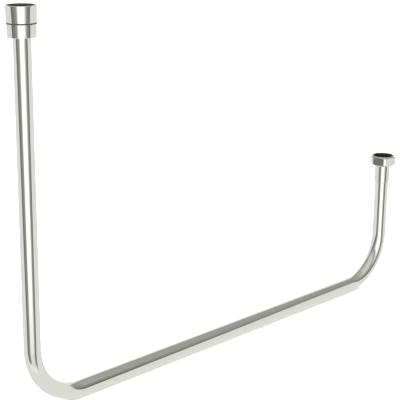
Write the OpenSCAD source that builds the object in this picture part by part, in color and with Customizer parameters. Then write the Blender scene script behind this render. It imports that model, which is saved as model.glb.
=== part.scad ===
// Bent connecting pipe for a shower or bath mixer: a chrome-plated tube bent into a U with one
// long and one short leg. The short leg ends in a hexagon union nut and the long leg in a round
// tapered coupling nut. Both nuts are held captive on nipples that are brazed over the tube.
// Millimetres, +Z up. The origin is the centre of the union's seal face, on the short leg's axis.
// +X points from the long leg to the short one, and the pipe's axis lies in the plane Y = 0.

/* [Pipe] */
// Outside diameter of the tube
tube_d = 18; // [16:0.5:20]
// Wall of the tube
tube_wall = 1; // [0.8:0.1:1.5]
// Distance between the axes of the two legs
leg_gap = 590; // [300:5:900]
// Radius of both bends, at the tube's axis
bend_r = 62; // [45:1:75]
// Height of the union's seal face above the cross run's axis
short_leg_h = 163; // [140:1:300]
// Height of the coupling's seal face above the cross run's axis
long_leg_h = 402; // [300:1:700]

/* [Nipples] */
// Wall of a nipple outside the tube
nipple_wall = 0.95; // [0.8:0.05:1.5]
// How far a nipple's flange reaches out past its barrel
flange_reach = 1.55; // [1.2:0.05:1.8]
// Thickness of a nipple's flange
flange_t = 2; // [1.5:0.1:3]
// Ledge inside a nipple that the tube's end butts against
stop_t = 2.5; // [1.5:0.1:4]
// Length of the union nipple that shows below its nut
barrel_show = 22.5; // [12:0.5:35]

/* [Pipe thread] */
// Bore of the nuts at the crests of the thread
thread_bore_d = 24.1; // [24:0.05:24.6]
// Depth of the thread's profile
thread_depth = 1.16; // [0.8:0.02:1.3]
// How much wider a mouth is countersunk than the thread's root, at the radius
mouth_flare = 0.7; // [0:0.05:0.9]
// Height of the union nut's mouth above its seal, which is the length of its free thread
union_thread_l = 6.3; // [5:0.1:12]
// Height of the coupling nut's mouth above its seal
coupling_thread_l = 8.7; // [6:0.1:14]
// Depth of the turned relief below the thread, past the thread's root
relief_depth = 0.2; // [0:0.05:0.4]

/* [Union nut] */
// Least wall from the thread's bore to a flat of the hexagon
nut_wall = 3.95; // [3.4:0.05:5]
// Web at the nut's foot that hangs under the flange
nut_web = 1.6; // [1.4:0.1:4]
// How far the hexagon's upright corners are turned down
nut_corner_cut = 0.8; // [0.2:0.05:1.5]
// Width of the sloped band round the nut's top edge, at a flat
top_bevel = 1.5; // [0.8:0.1:1.9]
// Width of the sloped band round the nut's bottom edge, at a flat
foot_bevel = 3.2; // [1.6:0.1:3.6]
// Slope of both bands
bevel_angle = 30; // [20:1:45]
// Turn of the nut at rest, about its own axis
nut_turn = 45; // [0:1:60]

/* [Coupling] */
// Wall of the coupling nut at its foot, outside the thread's bore
coupling_wall = 2.45; // [1.8:0.05:4]
// How much wider the coupling nut's radius is at its mouth
coupling_flare = 1; // [0.2:0.1:2]
// Web at the coupling nut's foot that hangs under the flange
coupling_web = 3.8; // [2:0.1:8]
// Height of the fixed collar below the coupling nut
collar_h = 13; // [6:0.5:20]
// How much narrower the collar's radius is at its foot
collar_taper = 0.3; // [0:0.1:1]
// Thickness of the slip ring between collar and coupling nut
slip_t = 0.7; // [0.6:0.1:2]
// How far the slip ring stands out past the coupling nut's foot
slip_proud = 0.6; // [0.2:0.1:1.2]
// Bevel on the edges of the collar and the coupling nut
edge_bevel = 0.5; // [0.2:0.1:0.8]

/* [Seals and stop ring] */
// Thickness of a flat seal
seal_t = 2; // [1:0.1:3]
// Wire of the stop ring that keeps the union nut up
wire_d = 1.4; // [1:0.1:1.8]
// Depth of the stop ring's groove in the nipple
groove_depth = 0.45; // [0.3:0.05:0.6]
// Gap between the ends of the stop ring
wire_gap = 5; // [2:0.5:9]

/* [Clearances] */
// Play round a nipple inside its nut
turn_fit = 0.1; // [0.02:0.01:0.1]
// Braze gap round the tube inside a nipple
braze_gap = 0.05; // [0.02:0.01:0.1]
// Play between faces that slide on each other
face_gap = 0.1; // [0.05:0.05:0.3]
// Play round the stop ring and the seals
ring_play = 0.3; // [0.2:0.05:0.5]

/* [Hidden] */
$fn = 96;
over = 1;

// Tube
tube_bore = tube_d - 2 * tube_wall;
run_z = -short_leg_h;
coupling_z = long_leg_h - short_leg_h;

// Nipples: the barrel goes over the tube, and the flange hangs the nut
socket_d = tube_d + 2 * braze_gap;
barrel_d = socket_d + 2 * nipple_wall;
flange_d = barrel_d + 2 * flange_reach;
eye_d = barrel_d + 2 * turn_fit;

// Heights at the short leg's end, from its seal face down
flange_top = -seal_t;
web_top = flange_top - flange_t - face_gap;
tube_end = flange_top - stop_t;
union_web_foot = web_top - nut_web;
wire_z = union_web_foot - face_gap - wire_d / 2;
wire_axis_r = barrel_d / 2 - groove_depth + wire_d / 2;
pocket_r = wire_axis_r + wire_d / 2 + ring_play;
union_nut_foot = wire_z - wire_d / 2 - face_gap;
barrel_foot = union_nut_foot - barrel_show;

// Heights at the long leg's end, from its seal face down
coupling_nut_foot = web_top - coupling_web;
slip_top = coupling_nut_foot - face_gap;
collar_top = slip_top - slip_t;
collar_foot = collar_top - collar_h;

// Outlines
nut_apothem = thread_bore_d / 2 + nut_wall;
nut_corner_r = nut_apothem / cos(30) - nut_corner_cut;
root_r = thread_bore_d / 2 + thread_depth;
mouth_r = root_r + mouth_flare;
relief_d = 2 * (root_r + relief_depth);
foot_r = thread_bore_d / 2 + coupling_wall;
flared_r = foot_r + coupling_flare;
seal_r = thread_bore_d / 2 - ring_play;

// Ring section of the tube
module tube_section() {
    difference() {
        circle(d = tube_d);
        circle(d = tube_bore);
    }
}

// Quarter bend in the plane Y = 0, from the angle start on, anticlockwise seen from -Y
module quarter_bend(start) {
    rotate([90, 0, 0]) rotate([0, 0, start])
        rotate_extrude(angle = 90) translate([bend_r, 0]) tube_section();
}

// Upright leg of the tube between two heights
module leg(from_z, to_z) {
    translate([0, 0, from_z]) linear_extrude(to_z - from_z) tube_section();
}

// What sits at the long leg's end is drawn in a frame whose origin is the seal face there
module at_coupling() {
    translate([-leg_gap, 0, coupling_z]) children();
}

// Turned ring between two heights, from an inner radius to an outer one that may change
// between foot and top, with bevelled outer edges
module turned(z0, z1, r_in, r_foot, r_top, bevel = 0) {
    rotate_extrude() polygon([
        [r_in, z0], [r_foot - bevel, z0], [r_foot, z0 + bevel],
        [r_top, z1 - bevel], [r_top - bevel, z1], [r_in, z1]
    ]);
}

// Bore between two heights, open at both
module bore(z0, z1, d) {
    translate([0, 0, z0]) cylinder(h = z1 - z0, d = d);
}

// Inside of a nut: countersunk mouth, thread bore, relief round the flange and eye of the web
module nut_inside(mouth, foot) {
    countersink = mouth_r - thread_bore_d / 2;
    translate([0, 0, mouth - countersink])
        cylinder(h = countersink + over, r1 = thread_bore_d / 2, r2 = mouth_r + over);
    bore(-over, mouth, thread_bore_d);
    bore(web_top, 0, relief_d);
    bore(foot - over, web_top + over, eye_d);
}

// Waterway of a nipple that ends at foot, and the socket that takes the tube's end
module nipple_inside(foot) {
    bore(foot - over, over, tube_bore);
    bore(foot - over, tube_end, socket_d);
}

// Flat seal that lies on a nipple's flange
module seal() {
    difference() {
        bore(flange_top, 0, 2 * seal_r);
        bore(flange_top - over, over, tube_bore);
    }
}

// Turned envelope that rounds the hexagon's corners and cuts them away in arcs above and below
module bevelled_envelope() {
    rise = tan(bevel_angle);
    top_r = nut_apothem - top_bevel;
    foot_ring_r = nut_apothem - foot_bevel;
    rotate_extrude() polygon([
        [0, union_nut_foot], [foot_ring_r, union_nut_foot],
        [nut_corner_r, union_nut_foot + (nut_corner_r - foot_ring_r) * rise],
        [nut_corner_r, union_thread_l - (nut_corner_r - top_r) * rise],
        [top_r, union_thread_l], [0, union_thread_l]
    ]);
}

module bent_tube() {
    color("#C8CAC4") {
        leg(run_z + bend_r, tube_end);
        translate([-bend_r, 0, run_z + bend_r]) quarter_bend(270);
        translate([bend_r - leg_gap, 0, run_z]) rotate([0, 90, 0])
            linear_extrude(leg_gap - 2 * bend_r) tube_section();
        translate([bend_r - leg_gap, 0, run_z + bend_r]) quarter_bend(180);
        translate([-leg_gap, 0, 0]) leg(run_z + bend_r, coupling_z + tube_end);
    }
}

module union_nipple() {
    color("#BFC1BB") difference() {
        union() {
            turned(barrel_foot, flange_top, 0, barrel_d / 2, barrel_d / 2, nipple_wall / 2);
            bore(flange_top - flange_t, flange_top, flange_d);
        }
        nipple_inside(barrel_foot);
        translate([0, 0, wire_z]) rotate_extrude() translate([wire_axis_r, 0]) circle(d = wire_d);
    }
}

module union_nut() {
    color("#CBCDC7") rotate(nut_turn) difference() {
        intersection() {
            translate([0, 0, union_nut_foot])
                linear_extrude(union_thread_l - union_nut_foot)
                    circle(r = nut_apothem / cos(30), $fn = 6);
            bevelled_envelope();
        }
        nut_inside(union_thread_l, union_nut_foot);
        bore(union_nut_foot - over, union_web_foot, 2 * pocket_r);
    }
}

// Open wire ring, sprung into the nipple's groove, with its gap away from the long leg
module stop_ring() {
    opening = wire_gap / wire_axis_r * 180 / PI;
    color("#8E908C") translate([0, 0, wire_z]) rotate(opening / 2)
        rotate_extrude(angle = 360 - opening) translate([wire_axis_r, 0])
            circle(d = wire_d - 2 * braze_gap);
}

module union_seal() {
    color("#2B2B2B") seal();
}

// Fixed collar of the long leg: its neck carries the slip ring and its flange the coupling nut
module coupling_collar() {
    color("#BFC1BB") at_coupling() difference() {
        union() {
            turned(collar_foot, collar_top, 0, foot_r - collar_taper, foot_r, edge_bevel);
            bore(collar_top - over, flange_top, barrel_d);
            bore(flange_top - flange_t, flange_top, flange_d);
        }
        nipple_inside(collar_foot);
    }
}

module coupling_nut() {
    color("#CBCDC7") at_coupling() difference() {
        turned(coupling_nut_foot, coupling_thread_l, 0, foot_r, flared_r, edge_bevel);
        nut_inside(coupling_thread_l, coupling_nut_foot);
    }
}

module slip_ring() {
    color("#3A3B3A") at_coupling()
        turned(collar_top, slip_top, eye_d / 2, foot_r + slip_proud, foot_r + slip_proud, slip_t / 4);
}

module coupling_seal() {
    color("#2B2B2B") at_coupling() seal();
}

bent_tube();
union_nipple();
union_nut();
stop_ring();
union_seal();
coupling_collar();
coupling_nut();
slip_ring();
coupling_seal();
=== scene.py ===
"""Looks of a bent shower connecting pipe: a chrome-plated U of tube with a hexagon union nut on
its short leg and a round tapered coupling nut on its long leg.

Every surface is a closed band of quads over two parameters, computed here with numpy: a sweep
for the tube and the wire ring, and polar surfaces r(angle, z) for the turned pieces and nuts.
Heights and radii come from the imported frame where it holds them. What it doesn't hold, such as
the pitch of the thread, is a named size in millimetres below.
"""

import math

import bpy
import numpy as np
from mathutils import Matrix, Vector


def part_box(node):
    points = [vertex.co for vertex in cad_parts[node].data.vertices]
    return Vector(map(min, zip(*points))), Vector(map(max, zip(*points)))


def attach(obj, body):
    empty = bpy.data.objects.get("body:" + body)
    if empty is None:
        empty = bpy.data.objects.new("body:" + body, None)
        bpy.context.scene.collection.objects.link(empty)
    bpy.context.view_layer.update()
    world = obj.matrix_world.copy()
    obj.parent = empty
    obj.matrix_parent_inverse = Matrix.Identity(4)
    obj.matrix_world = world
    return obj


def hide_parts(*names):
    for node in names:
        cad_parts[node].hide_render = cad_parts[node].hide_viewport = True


MM = 0.001

# Pipe
BEND_R = 62.0
TUBE_WALL = 1.0
BEND_OVALITY = 0.012

# Nipples
BORE_R = 8.0
SOCKET_R = 9.05
STOP_T = 2.5
FLANGE_T = 2.0
BARREL_BEVEL = 0.3
BRAZE_FILLET = 0.5

# Pipe thread of both nuts
THREAD_BORE_R = 12.05
THREAD_DEPTH = 1.16
THREAD_PITCH = 1.814
MOUTH_R = 13.91
RELIEF_R = 13.41
EYE_R = 10.1
WEB_TOP = -4.1

# Hexagon nut
NUT_APOTHEM = 16.0
NUT_CORNER_R = 17.675
NUT_TOP_RING_R = 14.5
NUT_FOOT_RING_R = 12.8
NUT_BEVEL = math.radians(30.0)
NUT_POCKET_R = 11.25
NUT_WEB = 1.6
NUT_TURN = 45.0

# Coupling
COUPLING_FOOT_R = 14.5
COUPLING_MOUTH_R = 15.5
COLLAR_FOOT_R = 14.2

# Stop ring and seals
WIRE_R = 0.65
WIRE_AXIS_R = 10.25
WIRE_GAP = 5.0
GROOVE_R = 0.7

# Studio: the tent's centre and radius in metres, and the heading of its window. The rest is in
# degrees, and in glow, of which 1 is white cloth
TENT_AT = (-0.295, 0.0, 0.0)
TENT_R = 5.0
WINDOW_HEADING = 222.5
CLOTH_GLOW = 1.0
WINDOW = {"glow": (1.75, 1.75), "sides": (-24, 20), "ends": (-21, 21), "soft": 11}
LEFT_FLAG = {"glow": (0.15, 0.48), "sides": (-69, -35), "ends": (-33, 90), "soft": 6}
RIGHT_FLAG = {"glow": (0.48, 0.15), "sides": (26, 68), "ends": (-38, 90), "soft": 6}
FLAG_SPLAY = (0.4, 0.9)
BOUNCE = {"glow": (1.15, 1.15), "sides": (-25, 45), "ends": (-47, -39), "soft": 8}
CEILING_EDGE = ((0, 26), (70, 26), (82, 14), (97, 18), (112, 28), (180, 31))
CEILING_FRONT = ((0, 0.30), (25, 0.36), (35, 0.55), (45, 0.75), (55, 0.83), (75, 0.83), (90, 0.76))
CEILING_BACK = ((0, 0.34), (30, 0.36), (40, 0.45), (50, 0.47), (60, 0.54), (75, 0.68), (90, 0.76))
LAMP_STRENGTH = 4.0
LAMP_SPREAD = 150.0
FLOOR_R = 9.0

# Camera: where it stands, in metres, its heading from +Y towards +X, its dip and its tilt
CAMERA_AT = (-1.2352, -0.8772, 0.3633)
CAMERA_HEADING = 45.279
CAMERA_DIP = 15.775
CAMERA_TILT = -0.534
CAMERA_LENS = 102.64


# Surfaces


def surface(name, points, materials, bands=None):
    """A closed band of quads over a grid of points, in millimetres, as a smooth mesh in metres.

    points has shape (n, m, 3), and wraps round in both directions. The normal at a point is the
    cross product of the differences between its neighbours along both directions, so that a
    flat next to a small rounding stays flat. bands gives a material number for each step of the
    second direction.
    """
    n, m, _ = points.shape
    along = np.roll(points, -1, 0) - np.roll(points, 1, 0)
    across = np.roll(points, -1, 1) - np.roll(points, 1, 1)
    normals = np.cross(along, across)
    normals /= np.maximum(np.linalg.norm(normals, axis=2, keepdims=True), 1e-9)
    i, j = np.meshgrid(np.arange(n), np.arange(m), indexing="ij")
    i2, j2 = (i + 1) % n, (j + 1) % m
    quads = np.stack((i * m + j, i2 * m + j, i2 * m + j2, i * m + j2), 2).reshape(-1, 4)
    mesh = bpy.data.meshes.new(name)
    mesh.from_pydata((points.reshape(-1, 3) * MM).tolist(), [], quads.tolist())
    for material in materials:
        mesh.materials.append(material)
    mesh.polygons.foreach_set("use_smooth", np.ones(len(quads), bool))
    if bands is not None:
        numbers = np.tile(np.asarray(bands, np.int32), n)
        mesh.polygons.foreach_set("material_index", numbers)
    mesh.update()
    mesh.normals_split_custom_set_from_vertices(normals.reshape(-1, 3).tolist())
    piece = bpy.data.objects.new(name, mesh)
    bpy.context.collection.objects.link(piece)
    return piece


def rounded(rows, radii, steps=4):
    """Closed outline whose corners are rounded by quadratic arcs.

    rows is a list of corners, each an array of (r, z) for every angle. At a corner C with the
    neighbours A and B the arc is (1-t)^2 P + 2t(1-t) C + t^2 Q, where P and Q lie on the sides
    at the corner's radius from C, and at most at half of a side.
    """
    out = []
    count = len(rows)
    for k in range(count):
        corner, radius = rows[k], radii[k]
        if radius <= 0:
            out.append(corner)
            continue
        ends = []
        for other in (rows[k - 1], rows[(k + 1) % count]):
            side = other - corner
            length = np.maximum(np.linalg.norm(side, axis=1, keepdims=True), 1e-9)
            ends.append(corner + side / length * np.minimum(radius, 0.49 * length))
        for t in np.linspace(0.0, 1.0, steps + 1):
            arc = (1 - t) ** 2 * ends[0] + 2 * t * (1 - t) * corner + t**2 * ends[1]
            out.append(arc)
    return out


def polar(rows, angles, centre):
    """Points (r cos a, r sin a, z) for every angle a, about an upright axis through centre."""
    rz = np.stack(rows, 1)
    a = angles[:, None]
    x, y = rz[..., 0] * np.cos(a), rz[..., 0] * np.sin(a)
    return np.stack((x, y, rz[..., 1]), 2) + np.asarray(centre, float)


def ring_of(count, r, z):
    """One corner of an outline, the same at every angle, or given for each angle."""
    return np.stack((np.broadcast_to(r, count), np.broadcast_to(z, count)), 1).astype(float)


def full_turn(count):
    """Angles of one turn, without the last, which is the first again."""
    return np.arange(count) * 2 * math.pi / count


def turned(name, outline, centre, material, count=160):
    """A turned piece. outline is a list of (r, z, rounding) round its section, outside upwards."""
    rows = [ring_of(count, r, z) for r, z, _ in outline]
    rows = rounded(rows, [f for _, _, f in outline])
    return surface(name, polar(rows, full_turn(count), centre), [material])


def thread_rows(angles, top, step=0.12):
    """Rows down a nut's bore, from its countersunk mouth to the relief at z = 0.

    The thread is r = bore + depth (1 - cos 2 pi u) / 2 with u = z / pitch - a / (2 pi), which
    is a right-handed groove with rounded crest and root. The countersink r = mouth - (top - z)
    cuts it away where that is wider.
    """
    rows = []
    for z in np.arange(top, 0.0, -step):
        u = z / THREAD_PITCH - angles / (2 * math.pi)
        groove = THREAD_BORE_R + THREAD_DEPTH * (1 - np.cos(2 * math.pi * u)) / 2
        rows.append(ring_of(len(angles), np.maximum(groove, MOUTH_R - (top - z)), z))
    return rows


def below_thread(count):
    """Corners below a nut's thread: relief round the flange, top of the web and its eye."""
    return [(ring_of(count, RELIEF_R, 0.0), 0.15), (ring_of(count, RELIEF_R, WEB_TOP), 0.25),
            (ring_of(count, EYE_R, WEB_TOP), 0.2)]


# Pieces


def pipe_path(leg_gap, run_z, short_top, long_top):
    """Points along the tube's axis with the outward normal in its plane, and the bend's share.

    The path goes down the long leg, round a quarter of radius BEND_R, along the cross run,
    round the other quarter and up the short leg. The share is sin(2 a) of the angle a turned in
    a bend, and nothing on a straight.
    """
    turn = np.linspace(0.0, math.pi / 2, 49)
    left, right = -leg_gap + BEND_R, -BEND_R
    low = run_z + BEND_R
    stretches = []
    for z in np.linspace(long_top, low, 24, endpoint=False):
        stretches.append((-leg_gap, z, -1.0, 0.0, 0.0))
    for a in turn:
        c, s = math.cos(a), math.sin(a)
        stretches.append((left - BEND_R * c, low - BEND_R * s, -c, -s, math.sin(2 * a)))
    for x in np.linspace(left, right, 34)[1:-1]:
        stretches.append((x, run_z, 0.0, -1.0, 0.0))
    for a in turn:
        c, s = math.cos(a), math.sin(a)
        stretches.append((right + BEND_R * s, low - BEND_R * c, s, -c, math.sin(2 * a)))
    for z in np.linspace(low, short_top, 14)[1:]:
        stretches.append((0.0, z, 1.0, 0.0, 0.0))
    return np.array(stretches)


def bent_tube(path, radius, material):
    """The tube's skin and bore as one closed band: out along the path and back inside it.

    Round a point of the path the skin is p + w cos(a) o + h sin(a) y, where o is the outward
    normal and y the normal of the pipe's plane. In a bend w shrinks and h grows by the ovality
    that bending gives a tube.
    """
    a = full_turn(120)[:, None]
    loops = []
    for r, way in ((radius, path), (radius - TUBE_WALL, path[::-1])):
        w = r * (1 - BEND_OVALITY * way[:, 4])
        h = r * (1 + BEND_OVALITY * way[:, 4])
        x = way[:, 0] + w * np.cos(a) * way[:, 2]
        z = way[:, 1] + w * np.cos(a) * way[:, 3]
        loops.append(np.stack((x, h * np.sin(a), z), 2))
    return surface("pipe_tube", np.concatenate(loops, 1), [material])


def union_nipple(foot, tube_r, barrel_r, flange_r, flange_top, wire_z, material):
    """Barrel over the short leg's end, with its flange, ring groove and fillet of braze."""
    flange_foot = flange_top - FLANGE_T
    groove = []
    for a in np.linspace(math.radians(115), math.radians(245), 9):
        groove.append((WIRE_AXIS_R + GROOVE_R * math.cos(a), wire_z + GROOVE_R * math.sin(a), 0))
    inside = [(r, z, 0) for r, z, _ in groove if r < barrel_r]
    outline = [
        (tube_r, foot - BRAZE_FILLET, 0), (tube_r + 0.12, foot - 0.4 * BRAZE_FILLET, 0.2),
        (barrel_r - BARREL_BEVEL - 0.1, foot, 0.1), (barrel_r, foot + BARREL_BEVEL, 0.25),
        *inside[::-1], (barrel_r, flange_foot, 0.2), (flange_r, flange_foot, 0.2),
        (flange_r, flange_top, 0.2), (BORE_R, flange_top, 0.2),
        (BORE_R, flange_top - STOP_T, 0.1), (SOCKET_R, flange_top - STOP_T, 0),
        (SOCKET_R, foot, 0),
    ]
    return turned("union_nipple_skin", outline, (0, 0, 0), material)


def coupling_collar(centre, foot, top, tube_r, neck_r, flange_r, flange_top, material):
    """Fixed collar of the long leg with its neck and flange, and a fillet of braze below."""
    flange_foot = flange_top - FLANGE_T
    outline = [
        (tube_r, foot - BRAZE_FILLET, 0), (tube_r + 0.2, foot - 0.3, 0.3),
        (tube_r + 1.0, foot, 0.3), (COLLAR_FOOT_R, foot, 0.7),
        (COUPLING_FOOT_R, top, 0.45), (neck_r, top, 0.15),
        (neck_r, flange_foot, 0.2), (flange_r, flange_foot, 0.2),
        (flange_r, flange_top, 0.2), (BORE_R, flange_top, 0.2),
        (BORE_R, flange_top - STOP_T, 0.1), (SOCKET_R, flange_top - STOP_T, 0),
        (SOCKET_R, foot, 0),
    ]
    return turned("coupling_collar_skin", outline, centre, material)


def hexagon_angles(flat=12, corner=8):
    """Angles that crowd on both sides of the edges of a hexagon whose first corner is at 0."""
    half = math.acos(NUT_APOTHEM / NUT_CORNER_R)
    edge, near = math.radians(30) - half, math.radians(0.4)
    one = np.concatenate((
        [-edge], np.linspace(near - edge, edge - near, corner),
        [edge], np.linspace(edge + near, math.radians(60) - edge - near, flat),
    ))
    return np.concatenate([one + math.radians(60 * k) for k in range(6)])


def hexagon_radius(angles, ease=0.05):
    """Radius of a hexagon with turned corners: a soft minimum of the flat and the corner's turn.

    The flat is f = apothem / cos(d), with d the angle from the flat's middle, and c is the
    corner's radius. The soft minimum -ease ln(exp(-f / ease) + exp(-c / ease)) rounds the edge
    between flat and corner.
    """
    flat = NUT_APOTHEM / np.cos(np.mod(angles, math.radians(60)) - math.radians(30))
    return -ease * np.logaddexp(-flat / ease, -NUT_CORNER_R / ease)


def union_nut(foot, top, chrome, bore_metal_with_painted_shade):
    """Hexagon nut as one polar surface: bevels that cut the corners in arcs, thread and pocket."""
    angles = hexagon_angles()
    count = len(angles)
    side = hexagon_radius(angles)
    rise = math.tan(NUT_BEVEL)
    low = foot + (side - NUT_FOOT_RING_R) * rise
    high = top - (side - NUT_TOP_RING_R) * rise
    outside = [
        (ring_of(count, NUT_POCKET_R, foot), 0.2), (ring_of(count, NUT_FOOT_RING_R, foot), 0.25),
        (ring_of(count, side, low), 0.3), (ring_of(count, side, high), 0.3),
        (ring_of(count, NUT_TOP_RING_R, top), 0.25), (ring_of(count, MOUTH_R, top), 0.15),
    ]
    web_foot = WEB_TOP - NUT_WEB
    below = below_thread(count) + [
        (ring_of(count, EYE_R, web_foot), 0.2), (ring_of(count, NUT_POCKET_R, web_foot), 0.2)
    ]
    return nut("union_nut_skin", angles, outside, below, top, (0, 0, 0), NUT_TURN,
               chrome, bore_metal_with_painted_shade)


def coupling_nut(centre, foot, top, chrome, bore_metal_with_painted_shade):
    """Round nut that widens towards its mouth, threaded inside."""
    count = 144
    outside = [
        (ring_of(count, EYE_R, foot), 0.2), (ring_of(count, COUPLING_FOOT_R, foot), 0.45),
        (ring_of(count, COUPLING_MOUTH_R, top), 0.6), (ring_of(count, MOUTH_R, top), 0.15),
    ]
    return nut("coupling_nut_skin", full_turn(count), outside, below_thread(count), top,
               centre, 0.0, chrome, bore_metal_with_painted_shade)


def nut(name, angles, outside, below, top, centre, turn, chrome, bore_metal_with_painted_shade):
    """Joins a nut's outside, its thread and what lies below the thread into one closed band."""
    thread = [(row, 0) for row in thread_rows(angles, top)[1:]]
    corners = outside + thread + below
    rows = rounded([row for row, _ in corners], [f for _, f in corners])
    steps = 5
    outer = steps * len(outside)
    # Band 1, the thread and the bore below it, takes the darkened metal whose colour is painted
    # shade for the nut's bore
    bands = [0 if k < outer else 1 for k in range(len(rows))]
    points = polar(rows, angles + math.radians(turn), centre)
    return surface(name, points, [chrome, bore_metal_with_painted_shade], bands)


def stop_ring(wire_z, material):
    """Open wire ring: a circle swept round the nipple, closed to a point at each end."""
    opening = WIRE_GAP / WIRE_AXIS_R
    way = np.linspace(opening / 2, 2 * math.pi - opening / 2, 120)
    around = full_turn(20)[None, :]
    size = np.full(len(way) + 4, WIRE_R)
    size[[0, -1]] = 0.02
    size[[1, -2]] = 0.8 * WIRE_R
    way = np.concatenate(([way[0]] * 2, way, [way[-1]] * 2))[:, None]
    r = WIRE_AXIS_R + size[:, None] * np.cos(around)
    z = wire_z + size[:, None] * np.sin(around) + 0 * way
    points = np.stack((r * np.cos(way), r * np.sin(way), z), 2)
    return wire_surface("stop_ring_skin", points, material)


def wire_surface(name, points, material):
    """A swept wire whose ends don't meet: quads along it and a cap at each end."""
    n, m, _ = points.shape
    i, j = np.meshgrid(np.arange(n - 1), np.arange(m), indexing="ij")
    j2 = (j + 1) % m
    quads = np.stack((i * m + j, i * m + j2, (i + 1) * m + j2, (i + 1) * m + j), 2)
    faces = quads.reshape(-1, 4)[:, ::-1].tolist()
    faces += [list(range(m)), list(range((n - 1) * m, n * m))[::-1]]
    mesh = bpy.data.meshes.new(name)
    mesh.from_pydata((points.reshape(-1, 3) * MM).tolist(), [], faces)
    mesh.materials.append(material)
    mesh.polygons.foreach_set("use_smooth", np.ones(len(faces), bool))
    mesh.update()
    piece = bpy.data.objects.new(name, mesh)
    bpy.context.collection.objects.link(piece)
    return piece


# Materials


def linear(colour):
    """An sRGB colour such as "D6D8CF" as linear RGBA."""
    out = []
    for k in (0, 2, 4):
        c = int(colour[k:k + 2], 16) / 255
        out.append(c / 12.92 if c <= 0.04045 else ((c + 0.055) / 1.055) ** 2.4)
    return (*out, 1.0)


def add(tree, kind, inputs, **settings):
    """Adds a node with its settings. Each input is a value, or an output to link it to."""
    node = tree.nodes.new("ShaderNode" + kind)
    for name, value in settings.items():
        setattr(node, name, value)
    for name, value in inputs.items():
        if isinstance(value, bpy.types.NodeSocket):
            tree.links.new(value, node.inputs[name])
        else:
            node.inputs[name].default_value = value
    return node.outputs


def surface_finish(name, colour, metallic, rough, patch_mm, mark_mm, mark_depth_mm, along=1.0):
    """A finish whose roughness wanders between two values in patches, with fine marks on it.

    rough is (lowest, highest). Patches of about patch_mm and marks of about mark_mm come from
    noise in the object's own place. The marks stand mark_depth_mm proud, and are drawn out
    sideways when along is more than 1. The colour and metalness are set on the shader.
    """
    material = bpy.data.materials.new(name)
    material.use_nodes = True
    tree = material.node_tree
    shader = tree.nodes["Principled BSDF"]
    shader.inputs["Base Color"].default_value = linear(colour)
    shader.inputs["Metallic"].default_value = metallic
    place = add(tree, "TexCoord", {})["Object"]
    patches = add(tree, "TexNoise", {
        "Vector": place, "Scale": 1 / (patch_mm * MM), "Detail": 3.0})["Fac"]
    drawn = add(tree, "Mapping", {"Vector": place, "Scale": (1.0, 1.0, along)})["Vector"]
    marks = add(tree, "TexNoise", {
        "Vector": drawn, "Scale": 1 / (mark_mm * MM), "Detail": 2.0})["Fac"]
    # Noise lies mostly between 0.3 and 0.7
    spread = add(tree, "MapRange", {
        "Value": patches, "From Min": 0.3, "From Max": 0.7, "To Min": rough[0],
        "To Max": rough[1]})["Result"]
    tree.links.new(spread, shader.inputs["Roughness"])
    relief = add(tree, "Bump", {
        "Height": marks, "Strength": 1.0, "Distance": mark_depth_mm * MM})["Normal"]
    tree.links.new(relief, shader.inputs["Normal"])
    return material


# Decorative chromium over nickel on brass tube: a slightly warm mirror. Polishing after bending
# leaves long shallow waves, which make the edges of its reflections wander a little.
def plated_tube():
    return surface_finish(
        "chrome plated brass tube", "D9DAD2", 1.0, (0.02, 0.06), 9.0, 45.0, 0.012)


# The same plating on turned brass. It is not polished as far, so a trace of the tool remains
# and reflections are a little softer.
def plated_brass():
    return surface_finish(
        "chrome plated turned brass", "D6D7CF", 1.0, (0.03, 0.08), 6.0, 9.0, 0.003)


# Plating hardly reaches into a bore, so a tapped thread stays duller than the skin. Its colour is
# painted shade as well: far darker than bare or plated brass, for the shade that falls inside the
# nut's bore.
def thin_plating_with_painted_shade():
    return surface_finish(
        "thin plating on tapped brass with painted bore shade", "5E5E58", 1.0, (0.22, 0.42), 1.2, 0.25, 0.01, 6.0)


# Drawn stainless spring wire: satin, with the die's marks along it.
def drawn_wire():
    return surface_finish(
        "drawn stainless wire", "A3A39E", 1.0, (0.2, 0.35), 0.6, 0.15, 0.004)


# Moulded nylon slip ring: dark, satin, with the fine grain of a spark-eroded mould.
def moulded_nylon():
    return surface_finish(
        "dark moulded nylon", "3B3C3B", 0.0, (0.42, 0.58), 0.8, 0.2, 0.01)


# Moulded nitrile rubber: black and matt, mottled by a faint bloom.
def seal_rubber():
    return surface_finish(
        "black nitrile rubber", "1C1C1B", 0.0, (0.6, 0.85), 2.0, 0.3, 0.02)


# Studio


def smooth_steps(value, stops):
    """Eases from one stop to the next, with t t (3 - 2 t) between two neighbours."""
    at, level = np.array(stops, float).T
    k = np.clip(np.searchsorted(at, value) - 1, 0, len(at) - 2)
    t = np.clip((value - at[k]) / (at[k + 1] - at[k]), 0.0, 1.0)
    return level[k] + (level[k + 1] - level[k]) * t * t * (3 - 2 * t)


def between(value, low, high, soft):
    """1 from low to high, easing to 0 over soft degrees at both ends."""
    rise = np.clip((value - low) / soft + 0.5, 0.0, 1.0)
    fall = np.clip((high - value) / soft + 0.5, 0.0, 1.0)
    return rise * rise * (3 - 2 * rise) * fall * fall * (3 - 2 * fall)


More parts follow.
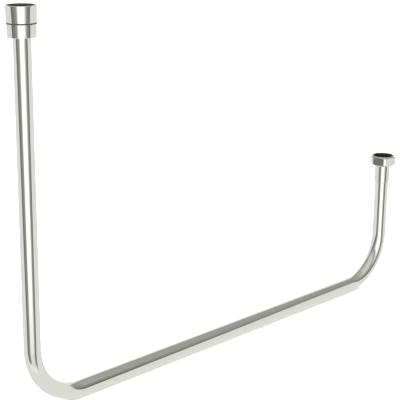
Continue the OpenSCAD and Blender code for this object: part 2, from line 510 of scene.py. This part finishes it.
def tent_glow(off, up):
    """Glow of the tent by degrees sideways from its window's middle and by degrees up.

    White cloth hangs all round. A bright window has a dark flag on both sides, whose upright
    edges splay outwards with height, so that they stand at side + splay (up + 10). A ceiling
    that is darkest at its rim hangs over the cloth from the height CEILING_EDGE up, and the
    floor bounces a little more light in front of the window.
    """
    glow = np.full(off.shape, CLOTH_GLOW)
    lean = np.clip(up + 10.0, -30.0, 40.0)
    for panel, way in ((WINDOW, 0), (LEFT_FLAG, -1), (RIGHT_FLAG, 1), (BOUNCE, 0)):
        low, high = panel["sides"]
        near, far = FLAG_SPLAY
        low = low + lean * (-far if way < 0 else near * way)
        high = high + lean * (far if way > 0 else near * way)
        share = between(off, low, high, panel["soft"])
        share = share * between(up, *panel["ends"], panel["soft"])
        first, last = panel["glow"]
        across = np.clip((off - low) / (high - low), 0.0, 1.0)
        glow += (first + (last - first) * across - glow) * share
    front = smooth_steps(np.abs(off), ((0, 1), (60, 1), (110, 0), (180, 0)))
    ceiling = smooth_steps(up, CEILING_FRONT) * front + smooth_steps(up, CEILING_BACK) * (1 - front)
    rim = smooth_steps(np.abs(off), CEILING_EDGE)
    return glow + (ceiling - glow) * between(up, rim, 200.0, 9.0)


def light_tent():
    """A ball of glowing cloth far round the pipe, which only reflections see."""
    around, up = 721, 181
    heading = np.radians(np.linspace(0, 360, around))[:, None]
    height = np.radians(np.linspace(-90, 90, up))[None, :]
    heading, height = np.broadcast_arrays(heading, height)
    points = TENT_R * np.stack((
        np.sin(heading) * np.cos(height), np.cos(heading) * np.cos(height), np.sin(height)
    ), 2) + np.array(TENT_AT)
    off = (np.degrees(heading) - WINDOW_HEADING + 180) % 360 - 180
    glow = tent_glow(off, np.degrees(height))
    i, j = np.meshgrid(np.arange(around - 1), np.arange(up - 1), indexing="ij")
    quads = np.stack((i * up + j, i * up + j + 1, (i + 1) * up + j + 1, (i + 1) * up + j), 2)
    mesh = bpy.data.meshes.new("light_tent")
    mesh.from_pydata(points.reshape(-1, 3).tolist(), [], quads.reshape(-1, 4).tolist())
    layer = mesh.attributes.new("glow", "FLOAT", "POINT")
    layer.data.foreach_set("value", glow.ravel().astype(np.float32))
    cloth = bpy.data.materials.new("glowing tent cloth")
    cloth.use_nodes = True
    cloth.cycles.emission_sampling = "NONE"
    tree = cloth.node_tree
    tree.nodes.clear()
    level = add(tree, "Attribute", {}, attribute_name="glow")["Fac"]
    shine = add(tree, "Emission", {"Strength": level})["Emission"]
    add(tree, "OutputMaterial", {"Surface": shine})
    mesh.materials.append(cloth)
    tent = bpy.data.objects.new("light_tent", mesh)
    bpy.context.collection.objects.link(tent)
    for kind in ("camera", "diffuse", "transmission", "volume_scatter", "shadow"):
        setattr(tent, "visible_" + kind, False)


def white_room():
    """Even white light from all round, and a very soft lamp above, which reflections miss."""
    world = bpy.data.worlds.new("white room")
    bpy.context.scene.world = world
    world.use_nodes = True
    world.node_tree.nodes["Background"].inputs["Color"].default_value = (1.0, 1.0, 1.0, 1.0)
    lamp = bpy.data.lights.new("soft lamp", "SUN")
    lamp.energy = LAMP_STRENGTH
    lamp.angle = math.radians(LAMP_SPREAD)
    above = bpy.data.objects.new("soft lamp", lamp)
    above.visible_glossy = False
    bpy.context.collection.objects.link(above)


def floor(level):
    """Pale floor under the pipe's run. The chrome mirrors the tent in its place."""
    a = full_turn(96)
    ring = np.stack((FLOOR_R * np.cos(a), FLOOR_R * np.sin(a), np.full(96, level)), 1)
    mesh = bpy.data.meshes.new("floor")
    mesh.from_pydata(ring.tolist(), [], [list(range(96))])
    mesh.materials.append(surface_finish(
        "pale matt floor", "F4F4F2", 0.0, (0.85, 0.95), 40.0, 3.0, 0.02))
    piece = bpy.data.objects.new("floor", mesh)
    bpy.context.collection.objects.link(piece)
    piece.visible_glossy = False


def camera():
    """The photograph's view: from the long leg's side, a little above both mouths."""
    heading, dip = math.radians(CAMERA_HEADING), math.radians(CAMERA_DIP)
    tilt = math.radians(CAMERA_TILT)
    ahead = np.array((
        math.sin(heading) * math.cos(dip), math.cos(heading) * math.cos(dip), -math.sin(dip)
    ))
    level = np.array((math.cos(heading), -math.sin(heading), 0.0))
    down = np.cross(ahead, level)
    right = math.cos(tilt) * level + math.sin(tilt) * down
    up = math.sin(tilt) * level - math.cos(tilt) * down
    data = bpy.data.cameras.new("camera")
    data.lens = CAMERA_LENS
    data.sensor_width = 36.0
    view = bpy.data.objects.new("camera", data)
    matrix = np.eye(4)
    matrix[:3, 0], matrix[:3, 1], matrix[:3, 2] = right, up, -ahead
    matrix[:3, 3] = CAMERA_AT
    view.matrix_world = Matrix(matrix.tolist())
    bpy.context.collection.objects.link(view)
    bpy.context.scene.camera = view


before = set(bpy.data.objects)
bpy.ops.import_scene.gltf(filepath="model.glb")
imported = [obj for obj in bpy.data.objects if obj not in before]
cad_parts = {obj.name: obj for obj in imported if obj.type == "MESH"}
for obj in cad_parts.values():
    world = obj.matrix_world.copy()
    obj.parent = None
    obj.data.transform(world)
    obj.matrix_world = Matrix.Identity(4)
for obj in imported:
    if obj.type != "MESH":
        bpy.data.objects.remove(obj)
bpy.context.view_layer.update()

tube_low, tube_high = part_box("bent_tube")
tube_r = (tube_high.y - tube_low.y) / 2 / MM
leg_gap = -tube_low.x / MM - tube_r
run_z = tube_low.z / MM + tube_r
seal_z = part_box("coupling_seal")[1].z / MM
coupling_at = (-leg_gap, 0.0, seal_z)


def heights(node, base=0.0):
    """Foot and top of a node in millimetres, above a seal face."""
    low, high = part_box(node)
    return low.z / MM - base, high.z / MM - base


def reach_of(node):
    """Outer radius of a turned node in millimetres."""
    low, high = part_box(node)
    return (high.y - low.y) / 2 / MM


short_top = heights("union_nipple")[1] - STOP_T
long_top = heights("coupling_collar")[1] - STOP_T
seal_foot = heights("union_seal")[0]
nipple_foot, flange_top = heights("union_nipple")
collar_foot = heights("coupling_collar", seal_z)[0]
slip_low, slip_high = heights("slip_ring", seal_z)
wire_low, wire_high = heights("stop_ring")
wire_z = (wire_low + wire_high) / 2
flange_r = reach_of("union_nipple")
barrel_r = SOCKET_R + 0.95

tube_chrome = plated_tube()
part_chrome = plated_brass()
thread_metal_with_painted_shade = thin_plating_with_painted_shade()
rubber = seal_rubber()
# The thread's metal has a painted-shade colour, darkened for the shade inside the nuts' bores

pieces = [
    (bent_tube(pipe_path(leg_gap, run_z, short_top, long_top), tube_r, tube_chrome),
     "bent_tube", "pipe", "chrome_tube"),
    (union_nipple(nipple_foot, tube_r, barrel_r, flange_r, flange_top, wire_z, part_chrome),
     "union_nipple", "pipe", "chrome_nipple"),
    (union_nut(*heights("union_nut"), part_chrome, thread_metal_with_painted_shade),
     "union_nut", "union_nut_body", "chrome_nut"),
    (stop_ring(wire_z, drawn_wire()), "stop_ring", "pipe", "spring_wire"),
    (coupling_collar(coupling_at, collar_foot, slip_low, tube_r, barrel_r, flange_r,
                     flange_top, part_chrome),
     "coupling_collar", "pipe", "chrome_nipple"),
    (coupling_nut(coupling_at, *heights("coupling_nut", seal_z), part_chrome, thread_metal_with_painted_shade),
     "coupling_nut", "coupling_nut_body", "chrome_nut"),
]

slip_r = reach_of("slip_ring")
slip_outline = [(EYE_R, slip_low, 0.1), (slip_r, slip_low, 0.35), (slip_r, slip_high, 0.35),
                (EYE_R, slip_high, 0.1)]
pieces.append((turned("slip_ring_skin", slip_outline, coupling_at, moulded_nylon()),
               "slip_ring", "pipe", "slip_plastic"))

seal_r = reach_of("union_seal")
seal_outline = [(BORE_R, seal_foot, 0.2), (seal_r, seal_foot, 0.3), (seal_r, 0.0, 0.3),
                (BORE_R, 0.0, 0.3)]
for node, centre in (("union_seal", (0, 0, 0)), ("coupling_seal", coupling_at)):
    pieces.append((turned(node + "_skin", seal_outline, centre, rubber),
                   node, "pipe", "seal_rubber"))

for piece, node, body, slot in pieces:
    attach(piece, body)
    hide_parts(node)

white_room()
light_tent()
floor(tube_low.z)
camera()
bpy.context.scene.view_settings.view_transform = "Standard"
